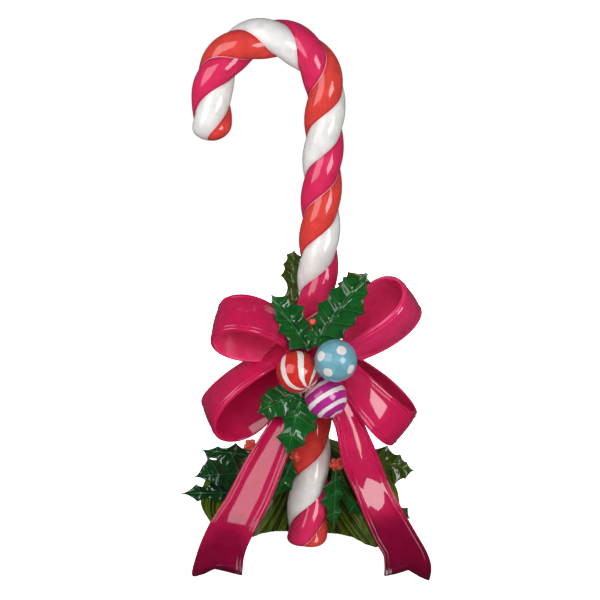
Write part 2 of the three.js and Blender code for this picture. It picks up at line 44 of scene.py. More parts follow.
# ---- driving sizes
CANE = dict(
    shaft_top=782, hook_radius=96.5, tip_drop=82, foot_radius=37, top_radius=35, hook_r=35.5,
    lobe_ratio=0.72, foot_round=14, tip_round=30, ring_step=3.6, lobe_steps=18,
    foot_forward=46, bow_top=330, strand_lean=8, lean_full_at=80, lean_fade=50, tip_power=2.2,
    away_from_seam=20,
)
# Turns of the strands at each distance along the centreline.
TWIST = [
    (-2, -0.045), (7, 0.0), (71, 0.333), (284, 1.333), (478, 2.333), (687, 3.333), (889, 4.333),
    (1081, 5.333), (1181, 5.8),
]
# Ring places in the rounded foot, in millimetres, and in the rounded tip, as shares of it.
FOOT_RINGS = [0, 0.6, 1.6, 3, 4.6, 6.6, 9, 11.4]
TIP_RINGS = [0.12, 0.24, 0.36, 0.48, 0.6, 0.7, 0.79, 0.87, 0.93, 0.975]

RIBBON = dict(
    loop_stations=150, loop_start=0.045, loop_step=0.004, tail_stations=110, tail_step=0.01,
    parting=4.4, root_narrowing=0.45, crown=6, bend_flattening=0.6, belly=0.9, turn_fades_from=0.5,
    notch=21, notch_from=0.55, notch_sharpness=0.7, corner=4.5, corner_width=0.16, corner_from=0.9,
)
# Outer face from an edge inwards: distance from the edge and height over the middle, with the
# rounded rim, the groove and the raised bead.
RIM = [
    (0.0, -0.8), (0.0, 0.7), (0.3, 1.8), (0.9, 2.8), (1.8, 3.4), (3.0, 3.5), (4.2, 3.2), (5.2, 2.5),
    (5.9, 2.4), (6.5, 3.0), (7.1, 3.9), (7.9, 4.3), (8.8, 4.2), (9.6, 3.5), (10.4, 2.9), (12.0, 2.8),
]
INNER_RIM = [(0.3, -1.9), (0.9, -2.8), (1.8, -3.3), (3.2, -3.5)]
# Places across the width, as shares of it, of the points between the outer rims and the inner ones.
OUTER_MIDDLE = (0.25, 0.38, 0.5, 0.62, 0.75)
INNER_MIDDLE = (0.75, 0.5, 0.25)
OUTER_POINTS = 2 * len(RIM) + len(OUTER_MIDDLE)
# A loop runs from its root along its azimuth and rise, and its ribbon is rolled round that direction.
# The openings are those of its near and far edges, and a smaller power opens them nearer the root.
# The lean lengthens the near edge and shortens the far one, and the offset lifts the far one.
# A loop whose paint is paler inside or outside has that as painted bounce light.
LOOPS = [
    dict(
        name="bow_loop_upper_left", root=(-29, -62, 358), azimuth=156, rise=16, roll=-131, length=149,
        near_opening=93, far_opening=82, width=86, power=0.48, lean=5, offset=-14, side=-1, thin_paint=1,
    ),
    dict(
        name="bow_loop_upper_right", root=(62, -62, 355), azimuth=43, rise=-12, roll=26, length=140,
        near_opening=107, far_opening=50, width=88, power=0.57, lean=0, offset=16, side=1, thin_paint=1,
        thin_outside=0.5,
    ),
    dict(
        name="bow_loop_lower_left", root=(-46, -62, 348), azimuth=227, rise=-4, roll=-129, length=180,
        near_opening=111, far_opening=33, width=84, power=0.41, lean=4, offset=12, side=-1,
    ),
    dict(
        name="bow_loop_lower_right", root=(27, -62, 349), azimuth=-44, rise=-7, roll=5, length=189,
        near_opening=127, far_opening=75, width=66, power=0.72, lean=4, offset=14, side=-1, apex=0.68,
    ),
]
# A tail's edges are curves through these points, from the knot down to the floor.
TAILS = [
    dict(
        name="bow_tail_left", crown=7, apex=0.66, turn=9,
        left=[
            (-40, -72, 289), (-88, -94, 209), (-114, -108, 165), (-143, -128, 107), (-168, -144, 67),
            (-182, -173, 39), (-189, -201, 17), (-191, -218, 5), (-190, -228, 1), (-186, -239, 0),
        ],
        right=[
            (1, -84, 283), (-23, -102, 228), (-41, -123, 172), (-67, -149, 101), (-86, -166, 65),
            (-99, -187, 42), (-105, -204, 25), (-106, -216, 12), (-106, -221, 5), (-105, -223, 0),
        ],
    ),
    dict(
        name="bow_tail_right", crown=1.2, apex=0.5, turn=0,
        left=[
            (16, -101, 277), (40, -102, 230), (55, -109, 169), (76, -113, 123), (98, -131, 79),
            (116, -157, 48), (130, -174, 30), (132, -184, 19), (132, -193, 9), (131, -198, 0),
        ],
        right=[
            (63, -87, 289), (89, -88, 237), (117, -90, 179), (139, -93, 129), (167, -109, 83),
            (189, -134, 53), (205, -157, 32), (212, -177, 16), (211, -193, 6), (207, -211, 0),
        ],
    ),
]
KNOT = dict(
    centre=(8, -62, 348), half=(50, 21, 30), softness=0.7, folds=6, fold=0.06, drop=0.1,
    rings=28, around=48, pole_gap=0.04,
)

BALL_RADIUS = 36
BALL_MESH = dict(rings=72, around=120, pole_gap=0.03)
# Angles on the balls are in degrees, but first_at is in radians from the pole. There the first stripe
# is at first, and swirl is how far it turns in each radian.
RED_BALL = dict(
    centre=(-28, -132, 332), pole=(0.524, -0.658, -0.541), stripes=6, first=-63.3, first_at=1.2,
    half_width=9.5, swirl=-31,
)
PURPLE_BALL = dict(
    centre=(22, -114, 285), pole=(0.547, -0.424, -0.721), bands=(-66, -30.3, 5.9, 40.5, 76),
    half_width=6.2,
)
BLUE_BALL = dict(
    centre=(35, -150, 359), dot_radius=8.6,
    dots=[
        (-0.73, -0.6, 0.34), (0.23, -0.7, 0.67), (-0.37, -0.85, -0.38), (0.71, -0.67, -0.23),
        (-0.04, 0.37, 0.93), (-0.74, 0.31, -0.6), (-0.82, 0.46, 0.36), (0.74, 0.48, -0.47),
        (0.08, 0.02, -1.0), (-0.01, 1.0, -0.06), (0.82, 0.31, 0.48),
    ],
)

LEAF = dict(
    thickness=4.6, edge=2.4, least_thickness=0.5, stem=5, tip=0.9, scallop=0.4216, chord_share=0.55,
    sweep=0.42, fold=0.1, arch=4, wave=2.2, edge_dip=1.6, rib=2.5, rib_power=1.5, fine_ribs=3,
    fine_rib=0.42, dark_fine_rib=0.55, midrib=1.3, midrib_width=1.5, gully=0.7, gully_place=4.2,
    gully_width=2.2, vein=0.8, vein_width=1.1, vein_rise=0.1, vein_fall=0.85, vein_span=(0.04, 0.93),
    away=9, lip=0.6, lip_width=0.9, full_width=20, edge_power=14, edge_least=0.02,
    steps=22, row_gap=0.1, least_step=0.3,
)
# Places of the mesh's columns from the midrib to the edge, as shares of the half width.
LEAF_COLUMNS = (
    0, 0.03, 0.06, 0.1, 0.15, 0.21, 0.28, 0.35, 0.42, 0.49, 0.56, 0.63, 0.7, 0.77, 0.83, 0.89, 0.93,
    0.96, 0.985, 1.0,
)
# Spikes are (distance along the midrib, distance out) from the base, as many on each side.
LEAVES = [
    dict(
        name="leaf_top_left", base=(-10, -118, 368), tip=(-78, -102, 457), normal=(0.14, -0.95, 0.27),
        left=[(19, 29), (53, 28), (75, 21), (99, 11)], right=[(14, 19), (35, 28), (66, 36), (96, 22)],
        slot="leaf",
    ),
    dict(
        name="leaf_top_right", base=(-5, -118, 373), tip=(83, -100, 499), normal=(-0.16, -0.95, 0.25),
        left=[(13, 21), (37, 32), (64, 38), (95, 36), (126, 31)],
        right=[(17, 22), (43, 34), (72, 36), (99, 38), (128, 22)],
        slot="leaf",
    ),
    dict(
        name="leaf_rear_left", base=(-38, 10, 388), tip=(-43, 26, 511), normal=(-0.13, -0.98, 0.12),
        left=[(44, 17), (80, 24), (100, 20), (117, 14)], right=[(39, 13), (72, 16), (94, 16), (113, 14)],
        slot="olive_leaf",
    ),
    dict(
        name="leaf_rear_right", base=(44, -52, 404), tip=(82, -46, 490), normal=(0.24, -0.97, -0.04),
        left=[(58, 39), (83, 31)], right=[(55, 13), (82, 17)], slot="olive_leaf",
    ),
    dict(
        name="leaf_mid_left", base=(-24, -113, 290), tip=(-94, -98, 249), normal=(-0.35, -0.9, 0.27),
        left=[(18, 23), (40, 30), (67, 24)], right=[(23, 32), (48, 34), (65, 24)], slot="leaf",
    ),
    dict(
        name="leaf_mid_low", base=(-20, -114, 284), tip=(-40, -134, 184), normal=(-0.08, -0.97, 0.2),
        left=[(2, 30), (21, 39), (46, 39), (78, 26)], right=[(6, 12), (20, 18), (42, 23), (76, 26)],
        slot="leaf",
    ),
    dict(
        name="leaf_low_left", base=(-31, -52, 155), tip=(-62, -24, 71), normal=(-0.05, -0.95, -0.3),
        left=[(24, 23), (58, 27)], right=[(18, 10), (48, 10)], slot="leaf",
    ),
    dict(
        name="leaf_low_middle", base=(47, -58, 140), tip=(48, -62, 34), normal=(-0.19, -0.98, 0.04),
        left=[(14, 12), (40, 16), (75, 12)], right=[(34, 23), (59, 27), (86, 15)], slot="leaf",
    ),
    dict(
        name="leaf_low_right", base=(42, -52, 127), tip=(100, -34, 48), normal=(0.25, -0.97, -0.04),
        left=[(25, 11), (67, 8)], right=[(25, 17), (74, 19)], slot="leaf",
    ),
    dict(
        name="leaf_left_top", base=(-84, -20, 146), tip=(-187, -56, 165), normal=(0.37, -0.83, 0.41),
        left=[(70, 25), (102, 15)], right=[(53, 19), (85, 10)], slot="dark_leaf",
    ),
    dict(
        name="leaf_left_middle", base=(-80, -30, 122), tip=(-198, -88, 127), normal=(0.41, -0.8, 0.44),
        left=[(70, 34), (94, 21), (107, 12)], right=[(63, 45), (104, 31), (115, 19)], slot="dark_leaf",
    ),
    dict(
        name="leaf_left_low", base=(-88, -28, 84), tip=(-220, -84, 94), normal=(0.39, -0.87, 0.31),
        left=[(77, 18), (115, 15)], right=[(85, 23), (118, 16)], slot="dark_leaf",
    ),
    dict(
        name="leaf_right_top", base=(50, -10, 160), tip=(182, -52, 143), normal=(-0.25, -0.91, 0.32),
        left=[(84, 31), (110, 22), (124, 12)], right=[(79, 33), (113, 32), (129, 18)], slot="olive_leaf",
    ),
    dict(
        name="leaf_right_low", base=(112, -48, 84), tip=(178, -84, 66), normal=(-0.35, -0.84, 0.42),
        left=[(40, 19), (66, 16)], right=[(30, 10), (56, 13)], slot="leaf",
    ),
]

BERRY_RADIUS = 5
BERRY_FORM = dict(flattening=0.05, dimple=0.12, rim=0.9)
BERRIES = [
    dict(name="berries_left", centre=(-105, -55, 178), radius=12, count=7),
    dict(name="berries_centre_left", centre=(-26, -47, 158), radius=11, count=7),
    dict(name="berries_centre_right", centre=(47, -45, 146), radius=13, count=8),
    dict(name="berries_top", centre=(-6, -112, 415), radius=6, count=4),
]

# The plan at the floor runs from the bay behind the cane, round the left, to the back and the right.
# The leans say how far the wall has come from the plan to the crown at each height.
MOUND = dict(
    bay=5, pleats=38, pleat_depth=0.7, ridges=4, ridge_depth=0.9, fold_steps=32, levels=36,
    crown_centre=(-6, 46), crown_radius=30, bay_points=4, bay_blend=2.5, plan_steps=1600,
    pleat_power=1.3, ridge_power=0.8, ridge_shift=0.5, crown_smoothing=0.8,
    heights=[0, 24, 60, 100, 136, 166],
    bay_lean=[0, 0.26, 0.59, 0.82, 0.94, 1],
    side_lean=[0.2, 0.08, -0.02, 0.09, 0.4, 1],
    plan=[
        (0, -14), (-38, 9), (-74, -4), (-97, -30), (-122, -56), (-152, -60), (-180, -36), (-188, 12),
        (-178, 66), (-144, 108), (-78, 130), (0, 136), (78, 130), (134, 104), (156, 56), (160, 4),
        (154, -42), (134, -60), (108, -44), (80, -6), (38, 9),
    ],
)

# The studio, the lights and the camera are in metres, degrees and watts.
STUDIO = dict(half=40.0, wall=40.0, light_aim=(0, -0.1, 0.34), air=(0.96, 0.97, 1.0, 1), air_strength=0.05)
CAMERA = dict(place=(-0.029, -3.0, 1.06), pitch=-11.895, roll=2.4, field=19.366)
# Azimuth 0 is on the camera's side, above 0 to the right, and size is the side of the square. Each
# soft box shows in the gloss, and so does a twin behind it that adds gloss alone. The fills don't.
SOFT_BOX_DISTANCE = 1.6
TWIN_BEHIND = 0.01
SOFT_BOXES = [
    dict(name="left", azimuth=-48, elevation=24, size=1.25, twist=8, energy=13, gloss=4),
    dict(name="right", azimuth=36.5, elevation=15, size=0.78, twist=42, energy=7, gloss=8),
]
FILL_DISTANCE = 2.8
FILLS = [
    dict(name="low_fill", azimuth=28, elevation=-30, size=2.0, energy=30),
    dict(name="left_fill", azimuth=-28, elevation=-2, size=1.6, energy=10),
    dict(name="front_fill", azimuth=2, elevation=33, size=1.4, energy=20),
    dict(name="high_fill", azimuth=30, elevation=50, size=1.4, energy=3),
    dict(name="back_fill", azimuth=180, elevation=22, size=2.4, energy=64),
    dict(name="right_side_fill", azimuth=110, elevation=20, size=1.6, energy=14),
    dict(name="left_side_fill", azimuth=-110, elevation=20, size=1.6, energy=14),
]


# ---- small helpers
def vec(p):
    return np.array(p, dtype=float)


def unit(v):
    return v / np.linalg.norm(v)


def lerp(a, b, t):
    return a + (b - a) * t


def smooth(low, high, x):
    t = min(max((x - low) / (high - low), 0.0), 1.0)
    return t * t * (3 - 2 * t)


def hump(x, width):
    """A smooth bump of height 1 at 0 that dies out over two widths."""
    return exp(-((x / width) ** 2))


def table_at(rows, x):
    """Value of a table of (x, y) rows at x, by a smooth curve through the rows."""
    i = 0
    while i < len(rows) - 2 and x > rows[i + 1][0]:
        i += 1
    slopes = [(b[1] - a[1]) / (b[0] - a[0]) for a, b in zip(rows, rows[1:])]
    tangent = [slopes[0]] + [(a + b) / 2 for a, b in zip(slopes, slopes[1:])] + [slopes[-1]]
    (x0, y0), (x1, y1) = rows[i], rows[i + 1]
    h = x1 - x0
    t = (x - x0) / h
    t2, t3 = t * t, t**3
    return (
        (2 * t3 - 3 * t2 + 1) * y0
        + (t3 - 2 * t2 + t) * h * tangent[i]
        + (3 * t2 - 2 * t3) * y1
        + (t3 - t2) * h * tangent[i + 1]
    )


def curve_at(points, t, closed=False):
    """Point at t from 0 to 1 on the centripetal curve through the points."""
    count = len(points)
    place = (count if closed else count - 1) * t
    i = min(int(place), count - (1 if closed else 2))
    w = place - i
    p1 = points[i % count]
    p2 = points[(i + 1) % count]
    p0 = points[(i - 1) % count] if closed or i > 0 else 2 * p1 - p2
    p3 = points[(i + 2) % count] if closed or i + 2 < count else 2 * p2 - p1
    d0, d1, d2 = (max(np.linalg.norm(b - a), 1e-6) ** 0.5 for a, b in ((p0, p1), (p1, p2), (p2, p3)))
    m1 = ((p1 - p0) / d0 - (p2 - p0) / (d0 + d1) + (p2 - p1) / d1) * d1
    m2 = ((p2 - p1) / d1 - (p3 - p1) / (d1 + d2) + (p3 - p2) / d2) * d1
    return p1 + m1 * w + (-3 * p1 + 3 * p2 - 2 * m1 - m2) * w**2 + (2 * p1 - 2 * p2 + m1 + m2) * w**3


def loft(rings, split=None, flat_start=False):
    """Points and faces of a solid through a row of closed rings. Each end is a fan. A flat start is
    one face, and with split the end is a strip between the points before split and those after it."""
    rings = np.asarray(rings)
    rows, count = rings.shape[:2]
    caps = [rings[-1].mean(axis=0)] if flat_start else [rings[0].mean(axis=0), rings[-1].mean(axis=0)]
    points = np.vstack([rings.reshape(-1, 3), caps])
    faces = []
    for i in range(rows - 1):
        for j in range(count):
            a = i * count + j
            b = i * count + (j + 1) % count
            faces.append((a, b, b + count, a + count))
    last = (rows - 1) * count
    if flat_start:
        faces.append(tuple(reversed(range(count))))
    else:
        faces += [(rows * count, (j + 1) % count, j) for j in range(count)]
    if split is None:
        faces += [(len(points) - 1, last + j, last + (j + 1) % count) for j in range(count)]
        return points, faces
    there, back = 0, count - 1
    while there < split - 1 or back > split:
        ahead = there / (split - 1)
        behind = (count - 1 - back) / (count - 1 - split)
        if ahead <= behind and there < split - 1:
            faces.append((last + there, last + there + 1, last + back))
            there += 1
        else:
            faces.append((last + there, last + back - 1, last + back))
            back -= 1
    return points[:-1], faces


def globe(form, point):
    """Points and faces of a round form, with rings of points from pole to pole."""
    polars = np.linspace(form["pole_gap"], pi - form["pole_gap"], form["rings"])
    turns = np.linspace(0, 2 * pi, form["around"], endpoint=False)
    return loft([[point(polar, turn) for turn in turns] for polar in polars])


def make_piece(finish, node, slot, points, faces, materials, face_slots=None, crease=45, **paint):
    """A smooth mesh piece that stands for a node. Points are in millimetres, crease is the angle in
    degrees from which an edge stays sharp, and paint holds a number a point for the materials."""
    name = finish + "_" + node
    mesh = bpy.data.meshes.new(name)
    mesh.from_pydata((np.asarray(points) * MM).tolist(), [], faces)
    for material in materials:
        mesh.materials.append(material)
    if face_slots is not None:
        mesh.polygons.foreach_set("material_index", face_slots)
    shape = bmesh.new()
    shape.from_mesh(mesh)
    bmesh.ops.recalc_face_normals(shape, faces=shape.faces)
    for face in shape.faces:
        face.smooth = True
    for edge in shape.edges:
        if edge.is_manifold and edge.calc_face_angle() > radians(crease):
            edge.smooth = False
    shape.to_mesh(mesh)
    shape.free()
    for key, values in paint.items():
        attribute = mesh.attributes.new(key, "FLOAT", "POINT")
        attribute.data.foreach_set("value", np.asarray(values, dtype=np.float32))
    piece = bpy.data.objects.new(name, mesh)
    scene.collection.objects.link(piece)
    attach(piece, "root")
    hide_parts(node)


# ---- materials
def rgb(red, green, blue):
    """Linear colour from display values of 0 to 255."""
    def linear(v):
        v /= 255
        return v / 12.92 if v <= 0.04045 else ((v + 0.055) / 1.055) ** 2.4

    return (linear(red), linear(green), linear(blue), 1.0)


class Paint:
    """One material and short ways to add nodes to it."""

    def __init__(self, name):
        self.material = bpy.data.materials.new(name)
        self.material.use_nodes = True
        self.tree = self.material.node_tree
        self.shader = self.tree.nodes["Principled BSDF"]
        self.place = self.add("TexCoord", {}).outputs["Object"]

    def put(self, node, inputs):
        """Link each input to the socket that is given for it, or set it to the value."""
        for key, value in inputs.items():
            if isinstance(value, bpy.types.NodeSocket):
                self.tree.links.new(value, node.inputs[key])
            else:
                node.inputs[key].default_value = value

    def add(self, kind, inputs, **settings):
        node = self.tree.nodes.new("ShaderNode" + kind)
        for key, value in settings.items():
            setattr(node, key, value)
        self.put(node, inputs)
        return node

    def noise(self, scale, detail, stretch=None):
        place = self.place
        if stretch:
            place = self.add("Mapping", {"Vector": place, "Scale": stretch}).outputs["Vector"]
        return self.add("TexNoise", {"Vector": place, "Scale": scale, "Detail": detail}).outputs["Fac"]

    def attribute(self, name):
        return self.add("Attribute", {}, attribute_name=name).outputs["Fac"]

    def span(self, value, low, high, to_low=0.0, to_high=1.0):
        ends = {"Value": value, "From Min": low, "From Max": high, "To Min": to_low, "To Max": to_high}
        return self.add("MapRange", ends, interpolation_type="SMOOTHSTEP").outputs["Result"]

    def plus(self, a, b):
        return self.add("Math", {0: a, 1: b}, operation="ADD").outputs[0]

    def mix(self, factor, a, b, blend="MIX"):
        colors = {"Factor": factor, "A": a, "B": b}
        return self.add("Mix", colors, data_type="RGBA", blend_type=blend).outputs["Result"]

    def bump(self, height, strength, distance, normal=None):
        relief = {"Height": height, "Strength": strength, "Distance": distance}
        if normal is not None:
            relief["Normal"] = normal
        return self.add("Bump", relief).outputs["Normal"]

    def lacquer(self, color, gloss=(0.22, 0.38), coat=1.0, ripple=0.5, height=None, height_strength=0.6):
        """Painted resin under clear lacquer: hand mottling in the paint, slow ripples from the cast
        and a fine brush grain in the normal, and gloss that varies a little."""
        worn = self.span(self.noise(34, 3), 0.35, 0.75, *gloss)
        mottling = self.span(self.noise(60, 4), 0.3, 0.75, 0.0, 0.16)
        mottled = self.mix(mottling, color, (0.05, 0.02, 0.02, 1), "MULTIPLY")
        brushing = self.span(self.noise(420, 3), 0.35, 0.7, 0.0, 0.10)
        brushed = self.mix(brushing, mottled, (1, 1, 1, 1), "SOFT_LIGHT")
        normal = self.bump(self.noise(26, 1), ripple, 0.0012)
        normal = self.bump(self.noise(900, 2), 0.12, 0.0002, normal)
        if height is not None:
            normal = self.bump(height, height_strength, 0.0008, normal)
        smooth_coat = self.bump(self.noise(22, 1), ripple * 0.6, 0.0012)
        looks = {
            "Base Color": brushed, "Roughness": worn, "Normal": normal, "Specular IOR Level": 0.05,
            "Coat Weight": coat, "Coat Roughness": 0.04, "Coat IOR": 1.5, "Coat Normal": smooth_coat,
        }
        self.put(self.shader, looks)
        return self.material


def cane_paint(name, color, shade):
    """Strand paint: painted shade deepens it a little in the crease, and a pale hairline runs along it."""
    p = Paint(name)
    seam = p.attribute("seam")
    # Painted shade: near the crease the colour darkens towards the shade colour.
    crease_shaded = p.mix(p.span(seam, 0.0, 9.0, 0.55, 0.0), color, shade)
    line = p.span(seam, 0.35, 0.9, 0.75, 0.0)
    return p.lacquer(p.mix(line, crease_shaded, rgb(244, 205, 208)), ripple=0.35)


def ribbon_paint():
    """Crimson, paler for painted bounce light where an attribute says, with painted shade to the tails'
    ends.
    """
    p = Paint("crimson_ribbon")
    # Painted shade: the colour darkens with the attribute drop down the tails, clouded a little by noise.
    cloudy_shade = p.plus(p.attribute("drop"), p.span(p.noise(9, 2), 0.3, 0.7, -0.08, 0.08))
    color = p.mix(p.span(cloudy_shade, 0.0, 0.3), rgb(204, 28, 82), rgb(186, 20, 72))
    # Painted bounce light: paler crimson where that attribute says.
    color = p.mix(p.attribute("thin"), color, rgb(248, 62, 122))
    color = p.mix(p.span(cloudy_shade, 0.42, 0.62), color, rgb(126, 3, 48))
    color = p.mix(p.span(cloudy_shade, 0.62, 1.0), color, rgb(92, 0, 32))
    return p.lacquer(color, ripple=0.55)


def ball_paint(name, color):
    """Two paints that meet where the attribute changes sign, with a hand-painted edge."""
    p = Paint(name)
    hand = p.span(p.noise(170, 2), 0.25, 0.75, -0.55, 0.55)
    side = p.span(p.plus(p.attribute("paint"), hand), -0.25, 0.25)
    base = p.mix(p.span(p.noise(75, 3), 0.35, 0.7, 0.0, 0.25), color, rgb(255, 255, 255), "SOFT_LIGHT")
    return p.lacquer(p.mix(side, base, rgb(236, 231, 228)), ripple=0.25, height=side, height_strength=0.25)


def leaf_paint(name, color, vein_color, rim_color):
    """Green with paler veins, a darker rim, and blotches where the paint has pooled."""
    p = Paint(name)
    blotch = p.mix(p.span(p.noise(55, 4), 0.35, 0.7, 0.0, 0.6), color, rim_color)
    veins = p.mix(p.span(p.attribute("vein"), 0.4, 2.2, 0.55, 0.0), blotch, vein_color)
    rim = p.mix(p.span(p.attribute("rim"), 0.9, 1.0, 0.0, 0.7), veins, rim_color)
    grain = p.noise(260, 4)
    return p.lacquer(rim, gloss=(0.2, 0.4), ripple=0.6, height=grain, height_strength=0.25)


def berry_paint():
    p = Paint("red_berries")
    color = p.mix(p.span(p.noise(190, 2), 0.35, 0.65), rgb(255, 118, 100), rgb(232, 66, 62))
    return p.lacquer(color, ripple=0.2)


def mound_paint():
    """Olive with painted light on the folds of the pleats and painted shade, nearly black, in their
    grooves.
    """
    p = Paint("olive_pleats")
    streak = p.noise(38, 4, stretch=(3.0, 3.0, 0.7))
    ridge = p.plus(p.attribute("pleat"), p.span(streak, 0.3, 0.7, -0.35, 0.35))
    # Painted shade darkens the grooves and painted light lightens the folds, following the relief's height.
    color = p.mix(p.span(ridge, -1.4, 1.7), rgb(31, 44, 7), rgb(108, 132, 40))
    grain = p.noise(180, 4)
    return p.lacquer(color, gloss=(0.35, 0.55), coat=0.35, ripple=0.6, height=grain, height_strength=0.5)


# ---- cane
ARC_LENGTH = pi * CANE["hook_radius"]
CANE_LENGTH = CANE["shaft_top"] + ARC_LENGTH + CANE["tip_drop"]
BACK = vec((0, 1, 0))


def cane_frame(s):
    """Centre, outward direction in the hook's plane and radius at a distance along the centreline."""
    top = CANE["shaft_top"]
    angle = min(max((s - top) / CANE["hook_radius"], 0), pi)
    out = vec((cos(angle), 0, sin(angle)))
    centre = vec((-CANE["hook_radius"], 0, top)) + out * CANE["hook_radius"]
    centre[1] = -CANE["foot_forward"] * max(0, 1 - s / CANE["bow_top"]) ** 2
    centre[2] += min(s - top, 0) - max(s - top - ARC_LENGTH, 0)
    on_shaft = min(s / top, 1)
    on_hook = max((s - top) / (CANE_LENGTH - top), 0)
    radius = lerp(lerp(CANE["foot_radius"], CANE["top_radius"], on_shaft), CANE["hook_r"], on_hook)
    return centre, out, radius


def cane_stations():
    foot, end = CANE["foot_round"], CANE_LENGTH - CANE["tip_round"]
    shaft = list(np.linspace(foot, end, round((end - foot) / CANE["ring_step"])))
    return FOOT_RINGS + shaft + [end + f * CANE["tip_round"] for f in TIP_RINGS]


def rounded(s, radius):
    """The radius at a distance along the centreline, with the foot's and the tip's ends rounded."""
    end = CANE_LENGTH - CANE["tip_round"]
    if s < CANE["foot_round"]:
        drop = CANE["foot_round"] - s
        return radius + sqrt(CANE["foot_round"] ** 2 - drop**2) - CANE["foot_round"]
    if s > end:
        return radius * sqrt(1 - ((s - end) / CANE["tip_round"]) ** CANE["tip_power"])
    return radius


def lobe_reach(local):
    """Share of the radius that a strand's round face reaches at an angle from its middle."""
    offset = 1 - CANE["lobe_ratio"]
    return offset * cos(local) + sqrt(CANE["lobe_ratio"] ** 2 - (offset * sin(local)) ** 2)


def strand_lean(s):
    """How far the rings lean: to the foot on the hook's outer side, to the tip on its inner one."""
    end = CANE_LENGTH - CANE["tip_round"]
    lean = CANE["strand_lean"] * smooth(CANE["foot_round"], CANE["lean_full_at"], s)
    return lean * smooth(end, end - CANE["lean_fade"], s)


def build_cane(paints):
    """The rod, whose ring is three round lobes. Each lobe is a strand with its own paint, and the
    attribute seam is the distance from the strand's nearest edge."""
    steps = CANE["lobe_steps"]
    half_lobe = radians(60)
    rings, seam = [], []
    for s in cane_stations():
        centre, out, radius = cane_frame(s)
        radius = rounded(s, radius)
        turn = 2 * pi * table_at(TWIST, s) - pi / 2
        lean = strand_lean(s)
        ring = []
        for lobe in range(3):
            for k in range(steps):
                local = half_lobe * (2 * k / steps - 1)
                theta = turn + half_lobe * (2 * lobe + 1) + local
                r = radius * lobe_reach(local)
                if lean > 0:
                    centre, out, _ = cane_frame(s - lean * cos(theta))
                ring.append(centre + out * r * cos(theta) + BACK * r * sin(theta))
                seam.append(radius * (half_lobe - abs(local)))
        rings.append(ring)
    points, faces = loft(rings)
    side = len(rings[0])
    slots = [(j % side) // steps for j in range((len(rings) - 1) * side)]
    slots += [j // steps for j in range(side)] * 2
    seam += [CANE["away_from_seam"]] * 2
    make_piece("painted", "cane", "cane", points, faces, paints, slots, crease=22, seam=seam)


# ---- ribbon
def ribbon_ring(a, b, outward, crown, apex):
    """Ring round the ribbon's section, from edge a to edge b over the outer face and back. The crown
    is how far the section arches out, most at the apex, a share of its width."""
    width = np.linalg.norm(b - a)
    across = (b - a) / width
    outer_height, inner_height = RIM[-1][1], INNER_RIM[-1][1]
    middle = [(width * f, outer_height + RIBBON["belly"] * sin(pi * f)) for f in OUTER_MIDDLE]
    outer = RIM + middle + [(width - d, h) for d, h in reversed(RIM)]
    flat = [(width * f, inner_height) for f in INNER_MIDDLE]
    inner = [(width - d, h) for d, h in INNER_RIM] + flat + list(reversed(INNER_RIM))

    def arch(d):
        off = d / width - apex
        return crown * (1 - (off / (apex if off < 0 else 1 - apex)) ** 2)

    return [a + across * d + outward * (h + arch(d)) for d, h in outer + inner]


def loop_frame(loop):
    """Directions along the loop, across its ribbon and up from its middle."""
    az, rise, roll = (radians(loop[k]) for k in ("azimuth", "rise", "roll"))
    along = vec((cos(az) * cos(rise), -sin(rise), sin(az) * cos(rise)))
    across = vec((-sin(az), 0, cos(az)))
    across = unit(across - along * across.dot(along))
    across = across * cos(roll) + np.cross(along, across) * sin(roll)
    return along, across, np.cross(across, along)


def loop_edges(loop, axes, t, peak):
    """The ribbon's near and far edge at t, which runs from 0 at the knot round to 1 back there."""
    along, across, up = axes
    x = (1 - cos(2 * pi * t)) / 2
    wave = sin(2 * pi * t)
    y = wave * x ** loop["power"] / peak / 2
    parting = copysign(1, wave) * RIBBON["parting"] * (1 - x) ** 2
    half = loop["width"] * (1 - RIBBON["root_narrowing"] * (1 - x) ** 2) / 2

    def edge(reach, rise, side):
        return vec(loop["root"]) + along * x * reach + up * rise + across * side * half

    side = loop["side"]
    near = edge(loop["length"] + loop["lean"], y * loop["near_opening"] + parting, side)
    far = edge(loop["length"] - loop["lean"], y * loop["far_opening"] + loop["offset"] * x + parting, -side)
    return near, far


def loop_stations(loop):
    """The ribbon's near and far edge, outward direction and crown along the loop."""
    axes = loop_frame(loop)
    turns = np.linspace(0, pi, 101)[1:-1]
    peak = max(np.sin(turns) * ((1 - np.cos(turns)) / 2) ** loop["power"])
    centre = vec(loop["root"]) + axes[0] * loop["length"] / 2
    count, start, step = RIBBON["loop_stations"], RIBBON["loop_start"], RIBBON["loop_step"]
    stations, facing = [], 1
    for i in range(count + 1):
        t = lerp(start, 1 - start, i / count)
        near, far = loop_edges(loop, axes, t, peak)
        before = sum(loop_edges(loop, axes, t - step, peak))
        after = sum(loop_edges(loop, axes, t + step, peak))
        outward = unit(np.cross(after - before, far - near))
        if i == count // 4:
            facing = copysign(1, outward.dot((near + far) / 2 - centre))
        x = sin(pi * t) ** 2
        crown = RIBBON["crown"] * (1 - (1 - x) ** 4) * (1 - RIBBON["bend_flattening"] * x**6)
        stations.append((near, far, outward, crown))
    return [(near, far, outward * facing, crown) for near, far, outward, crown in stations]


def build_loop(loop, paint):
    """One loop, with an attribute that says how much painted bounce light makes its paint paler."""
    apex = loop.get("apex", 0.5)
    rings = [ribbon_ring(*station, apex) for station in loop_stations(loop)]
    points, faces = loft(rings)
    # Painted bounce light, on the outer face and on the inner one.
    outside = [loop.get("thin_outside", 0.0)] * OUTER_POINTS
    inside = [loop.get("thin_paint", 0.0)] * (len(rings[0]) - OUTER_POINTS)
    thin = (outside + inside) * len(rings) + [0.0, 0.0]
    drop = [0.0] * len(points)
    make_piece("lacquered", loop["name"], "ribbon", points, faces, [paint], drop=drop, thin=thin)


